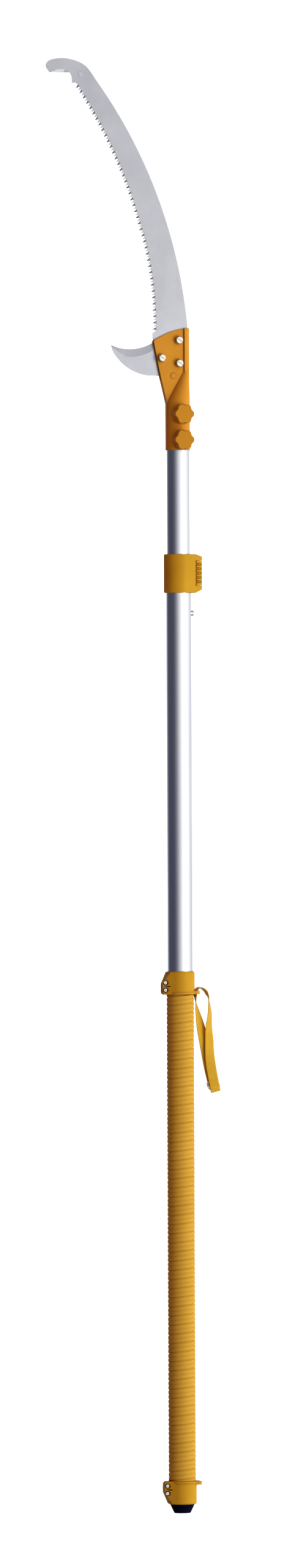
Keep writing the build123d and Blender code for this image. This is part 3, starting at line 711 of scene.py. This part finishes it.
def ground_steel(name, along):
    """Blade steel with the fine scratches of its grinding, drawn out along one axis."""
    material, tree, shader = start_material(name)
    scratches = noise(tree, 900.0, along, detail=3.0, rough=0.7)
    cloud = noise(tree, 16.0, detail=4.0)
    bevel = add(tree, "Attribute", attribute_name="bevel")
    # The bevel faces are painted dark, standing in for their dark reflection.
    tone = mixed(tree, bevel.outputs["Fac"], two_tone(tree, cloud, STEEL_DEEP, STEEL_LIGHT),
                 BEVEL_PAINTED_DARK)
    tree.links.new(tone, shader.inputs["Base Color"])
    tree.links.new(spread(tree, scratches, 0.3, 0.42), shader.inputs["Roughness"])
    tree.links.new(bump(tree, scratches, 0.18, 0.00003), shader.inputs["Normal"])
    shader.inputs["Metallic"].default_value = 1.0
    return material


def plated_steel(name, tone, gloss, rounding=0.0003):
    """Zinc or chrome plate on a turned part."""
    material, tree, shader = start_material(name)
    fine = noise(tree, 700.0, detail=3.0)
    darker = tuple(c * PLATE_MOTTLE for c in tone)
    tree.links.new(two_tone(tree, noise(tree, 160.0), darker, tone), shader.inputs["Base Color"])
    tree.links.new(spread(tree, fine, *gloss), shader.inputs["Roughness"])
    rounded = soft_edges(tree, rounding) if rounding else None
    tree.links.new(bump(tree, fine, 0.1, 0.00002, rounded), shader.inputs["Normal"])
    shader.inputs["Metallic"].default_value = 1.0
    return material


def webbing():
    """Woven nylon: ribs along the band crossed by the weft, from each point's place on the band."""
    ribs_per_metre, picks_per_metre = 900.0, 760.0
    material, tree, shader = start_material("Strap_webbing")
    on_band = add(tree, "Attribute", attribute_name="band_place")
    split = add(tree, "SeparateXYZ")
    tree.links.new(on_band.outputs["Vector"], split.inputs["Vector"])

    def wave(value, per_metre):
        scaled = add(tree, "Math", operation="MULTIPLY")
        scaled.inputs[1].default_value = 2 * pi * per_metre
        tree.links.new(value, scaled.inputs[0])
        swing = add(tree, "Math", operation="SINE")
        tree.links.new(scaled.outputs["Value"], swing.inputs[0])
        return swing.outputs["Value"]

    def times(first, second):
        node = add(tree, "Math", operation="MULTIPLY")
        tree.links.new(first, node.inputs[0])
        tree.links.new(second, node.inputs[1])
        return node.outputs["Value"]

    weave = times(wave(split.outputs["X"], ribs_per_metre), wave(split.outputs["Y"], picks_per_metre))
    height = spread(tree, weave, 0.0, 1.0, -1.0, 1.0)
    # Painted shade: the thread is darker where the weave lies low.
    shaded_weave = two_tone(tree, height, THREAD_PAINTED_SHADE, THREAD_LIGHT, 0.15, 0.85)
    cloud = noise(tree, 60.0)
    tree.links.new(mixed(tree, spread(tree, cloud, 0.0, 0.3), shaded_weave, WORN_THREAD),
                   shader.inputs["Base Color"])
    tree.links.new(spread(tree, cloud, 0.62, 0.78), shader.inputs["Roughness"])
    tree.links.new(bump(tree, height, 0.5, 0.00015), shader.inputs["Normal"])
    shader.inputs["Sheen Weight"].default_value = 0.25
    shader.inputs["Sheen Roughness"].default_value = 0.4
    return material


finish = {
    "pole_aluminium": drawn_aluminium(),
    "blade_steel": ground_steel("Blade_steel", along=(1, 1, 0.03)),
    "sickle_steel": ground_steel("Sickle_steel", along=(0.03, 1, 1)),
    "rivet_steel": plated_steel("Rivet_steel", (0.55, 0.56, 0.58), gloss=(0.3, 0.45)),
    "spacer_steel": plated_steel("Spacer_steel", (0.5, 0.5, 0.52), gloss=(0.35, 0.5)),
    "bolt_steel": plated_steel("Bolt_steel", (0.78, 0.76, 0.72), gloss=(0.22, 0.36)),
    "screw_steel": plated_steel("Screw_steel", (0.74, 0.74, 0.75), gloss=(0.2, 0.34)),
    "spring_steel": plated_steel("Spring_steel", (0.42, 0.42, 0.44), gloss=(0.3, 0.45)),
    "ring_chrome": plated_steel("Ring_chrome", (0.86, 0.87, 0.89), gloss=(0.06, 0.14), rounding=0.0),
    "holder_paint": coloured_plastic("Holder_paint", PAINT_DEEP, PAINT_LIGHT, PAINT_EDGE_SHADE, grain=1100.0,
                                     gloss=(0.3, 0.42), relief=0.00005, rounding=0.0007),
    "knob_plastic": coloured_plastic("Knob_plastic", KNOB_DEEP, KNOB_LIGHT, ORANGE_EDGE_HIGHLIGHT, grain=1600.0,
                                     gloss=(0.38, 0.5), relief=0.00005, rounding=0.0006),
    "clamp_plastic": coloured_plastic("Clamp_plastic", ORANGE_DEEP, ORANGE_LIGHT, ORANGE_EDGE_HIGHLIGHT),
    # The lever's finger grooves get their painted shade from further off.
    "lever_plastic": coloured_plastic("Lever_plastic", ORANGE_DEEP, ORANGE_LIGHT, ORANGE_EDGE_HIGHLIGHT,
                                      painted_shade=0.009),
    "collar_plastic": coloured_plastic("Collar_plastic", ORANGE_DEEP, ORANGE_LIGHT, ORANGE_EDGE_HIGHLIGHT),
    "grip_rubber": coloured_plastic("Grip_rubber", GRIP_DEEP, GRIP_LIGHT, ORANGE_EDGE_HIGHLIGHT, grain=2200.0,
                                    gloss=(0.5, 0.64), relief=0.00009, rounding=0.0),
    "foot_rubber": coloured_plastic("Foot_rubber", FOOT_DEEP, FOOT_LIGHT, FOOT_EDGE_HIGHLIGHT, grain=2000.0,
                                    gloss=(0.5, 0.66), relief=0.0001, rounding=0.0006),
    "bush_plastic": coloured_plastic("Bush_plastic", BUSH_DEEP, BUSH_LIGHT, BUSH_EDGE_HIGHLIGHT,
                                     gloss=(0.4, 0.55)),
    "strap_webbing": webbing(),
}


# =============================== pieces ===============================

def finish_frame():
    """Gives every node of the frame the finish of its material slot."""
    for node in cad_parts.values():
        for holder in node.material_slots:
            name = holder.material.name.split(".")[0]
            if name in finish:
                holder.material = finish[name]


def make_blades():
    for name, node, plate, slot in (
            ("saw_blade_ground", "saw_blade", saw_blade(), "blade_steel"),
            ("sickle_blade_ground", "sickle_blade", sickle_blade(), "sickle_steel")):
        piece = new_piece(name, plate.points, plate.faces, slot, "upper_assembly")
        # Marks the teeth's bevels, which their material paints dark as a reflection.
        bevel = piece.data.attributes.new("bevel", "FLOAT", "FACE")
        for n, spot in enumerate(bevel.data):
            spot.value = 1.0 if n in plate.bevels else 0.0
        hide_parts(node)


def both_sides(middle, margin):
    return [middle - margin, middle + margin]


def make_poles():
    clip_holes = [BUTTON_Z - POLE_TRAVEL, BUTTON_Z]
    rings = [UPPER_POLE_ENDS[0]]
    for z in clip_holes + sorted(KNOB_HEIGHTS):
        rings += both_sides(z, HOLE_MARGIN)
    rings.append(UPPER_POLE_ENDS[1])
    upper = new_piece("upper_pole_drawn", *oval_tube(UPPER_POLE, rings), "pole_aluminium",
                      "upper_assembly", smooth=True)
    cut_out(upper, [round_cutter(z, KNOB_HOLE, "Y", *THROUGH_CUT) for z in KNOB_HEIGHTS]
            + [round_cutter(z, CLIP_HOLE, "X", *UPPER_CUT) for z in clip_holes])
    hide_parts("upper_pole")
    rings = [LOWER_POLE_ENDS[0], *both_sides(BUTTON_Z, HOLE_MARGIN), SHOE_WINDOW[0] - WINDOW_MARGIN,
             SHOE_WINDOW[1] + WINDOW_MARGIN, LOWER_POLE_ENDS[1]]
    lower = new_piece("lower_pole_drawn", *oval_tube(LOWER_POLE, rings), "pole_aluminium",
                      "lower_assembly", smooth=True)
    cut_out(lower, [round_cutter(BUTTON_Z, BUTTON_HOLE, "X", *LOWER_CUT),
                    block_cutter(LOWER_CUT, WINDOW_SIDES, SHOE_WINDOW)])
    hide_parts("lower_pole")


def make_grip():
    grip = new_piece("grip_ribbed", *grip_sleeve(), "grip_rubber", "lower_assembly", smooth=True)
    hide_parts("grip_sleeve")


def make_strap():
    points, faces, places = strap_mesh()
    strap = new_piece("strap_woven", points, faces, "strap_webbing", "lower_assembly", smooth=True)
    on_band = strap.data.attributes.new("band_place", "FLOAT_VECTOR", "POINT")
    for spot, where in zip(on_band.data, places):
        spot.vector = where
    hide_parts("strap")


# =============================== studio ===============================

VIEW_AZIMUTH = radians(-20.0)
VIEW_DISTANCE = 18.0
VIEW_TARGET = Vector((-0.0562, 0.0204, 1.2138))
VIEW_ROLL = radians(-0.245)
FRAME_HEIGHT = 2.611               # height of the picture at the object, in metres
SENSOR = 36.0
LIGHT_AIM = Vector((0, 0, 1.2))
PAPER_REACH, PAPER_LEVEL = 300.0, -0.002     # half its side, and its height below the part
PAPER_TONE, PAPER_GLOW = 0.86, 0.62
KEY_BEARING, BACK_BEARING = 66.0, 180.0      # degrees to the right of the camera
BACKDROP_STRENGTH = 1.05


def make_camera():
    back = Vector((sin(VIEW_AZIMUTH), -cos(VIEW_AZIMUTH), 0.0))
    data = bpy.data.cameras.new("Camera")
    data.sensor_fit = "VERTICAL"
    data.sensor_width = SENSOR
    data.sensor_height = SENSOR
    data.lens = SENSOR * VIEW_DISTANCE / FRAME_HEIGHT
    data.clip_end = 400.0
    camera = bpy.data.objects.new("Camera", data)
    bpy.context.scene.collection.objects.link(camera)
    facing = (-back).to_track_quat("-Z", "Y").to_matrix().to_4x4()
    camera.matrix_world = (Matrix.Translation(VIEW_TARGET + back * VIEW_DISTANCE)
                           @ facing @ Matrix.Rotation(VIEW_ROLL, 4, "Z"))
    bpy.context.scene.camera = camera


def make_floor():
    """White paper under the part, which neither lights it nor shows in its reflections."""
    mesh = bpy.data.meshes.new("Floor")
    sides = ((-1, -1), (1, -1), (1, 1), (-1, 1))
    corners = [(x * PAPER_REACH, y * PAPER_REACH, PAPER_LEVEL) for x, y in sides]
    mesh.from_pydata(corners, [], [(0, 1, 2, 3)])
    floor = bpy.data.objects.new("Floor", mesh)
    bpy.context.scene.collection.objects.link(floor)
    material, _, shader = start_material("Floor_paper")
    shader.inputs["Base Color"].default_value = (PAPER_TONE, PAPER_TONE, PAPER_TONE, 1)
    shader.inputs["Roughness"].default_value = 0.95
    shader.inputs["Specular IOR Level"].default_value = 0.0
    shader.inputs["Emission Color"].default_value = (1, 1, 1, 1)
    shader.inputs["Emission Strength"].default_value = PAPER_GLOW
    mesh.materials.append(material)
    floor.visible_glossy = False
    floor.visible_diffuse = False


def softbox(name, degrees, distance, height, size, power, colour, shines=True):
    """A tall soft light. degrees is its bearing from the camera, to the right."""
    angle = VIEW_AZIMUTH + radians(degrees)
    data = bpy.data.lights.new(name, "AREA")
    data.shape = "RECTANGLE"
    data.size, data.size_y = size
    data.energy = power
    data.color = colour
    light = bpy.data.objects.new(name, data)
    bpy.context.scene.collection.objects.link(light)
    light.visible_glossy = shines
    light.location = (sin(angle) * distance, -cos(angle) * distance, height)
    light.rotation_euler = (LIGHT_AIM - light.location).to_track_quat("-Z", "Y").to_euler()


def make_world():
    """A surround that lights the part from the right and from behind. The camera sees it white."""
    world = bpy.data.worlds.new("Studio")
    bpy.context.scene.world = world
    world.use_nodes = True
    tree = world.node_tree
    tree.nodes.clear()
    where = add(tree, "TexCoord")

    def lobe(degrees, stops):
        """Colours by how near a direction is to a bearing: position 1 is the bearing itself."""
        angle = VIEW_AZIMUTH + radians(degrees)
        dot = add(tree, "VectorMath", operation="DOT_PRODUCT")
        dot.inputs[1].default_value = (sin(angle), -cos(angle), 0.0)
        tree.links.new(where.outputs["Generated"], dot.inputs[0])
        share = spread(tree, dot.outputs["Value"], 0.0, 1.0, -1.0, 1.0)
        ramp = add(tree, "ValToRGB")
        while len(ramp.color_ramp.elements) < len(stops):
            ramp.color_ramp.elements.new(0.5)
        for element, (position, colour) in zip(ramp.color_ramp.elements, stops):
            element.position = position
            element.color = (*colour, 1)
        tree.links.new(share, ramp.inputs["Fac"])
        return ramp.outputs["Color"]

    key = lobe(KEY_BEARING, [(0.0, (0.10, 0.102, 0.13)), (0.35, (0.09, 0.093, 0.125)),
                             (0.52, (0.13, 0.13, 0.16)), (0.68, (0.30, 0.30, 0.325)),
                             (0.82, (0.60, 0.60, 0.61)), (0.93, (0.80, 0.80, 0.80)),
                             (1.0, (0.86, 0.86, 0.86))])
    behind = lobe(BACK_BEARING, [(0.0, (0.0, 0.0, 0.0)), (0.68, (0.0, 0.0, 0.0)),
                                 (0.86, (0.30, 0.30, 0.33)), (1.0, (0.6, 0.6, 0.62))])
    both = add(tree, "VectorMath", operation="ADD")
    tree.links.new(key, both.inputs[0])
    tree.links.new(behind, both.inputs[1])
    soft = add(tree, "Background")
    tree.links.new(both.outputs["Vector"], soft.inputs["Color"])
    white = add(tree, "Background", Strength=BACKDROP_STRENGTH)
    white.inputs["Color"].default_value = (1, 1, 1, 1)
    ray = add(tree, "LightPath")
    choose = add(tree, "MixShader")
    tree.links.new(ray.outputs["Is Camera Ray"], choose.inputs["Fac"])
    tree.links.new(soft.outputs["Background"], choose.inputs[1])
    tree.links.new(white.outputs["Background"], choose.inputs[2])
    out = add(tree, "OutputWorld")
    tree.links.new(choose.outputs["Shader"], out.inputs["Surface"])


make_camera()
finish_frame()
make_blades()
make_poles()
make_grip()
make_strap()
make_floor()
make_world()
softbox("Key", 58.0, 3.2, 0.8, (0.7, 2.35), 26.0, (1.0, 1.0, 0.94))
softbox("Fill", -62.0, 3.0, 1.3, (1.4, 2.6), 9.0, (1.0, 0.30, 0.08), shines=False)
bpy.context.scene.view_settings.view_transform = "Standard"
bpy.context.scene.view_settings.look = "High Contrast"
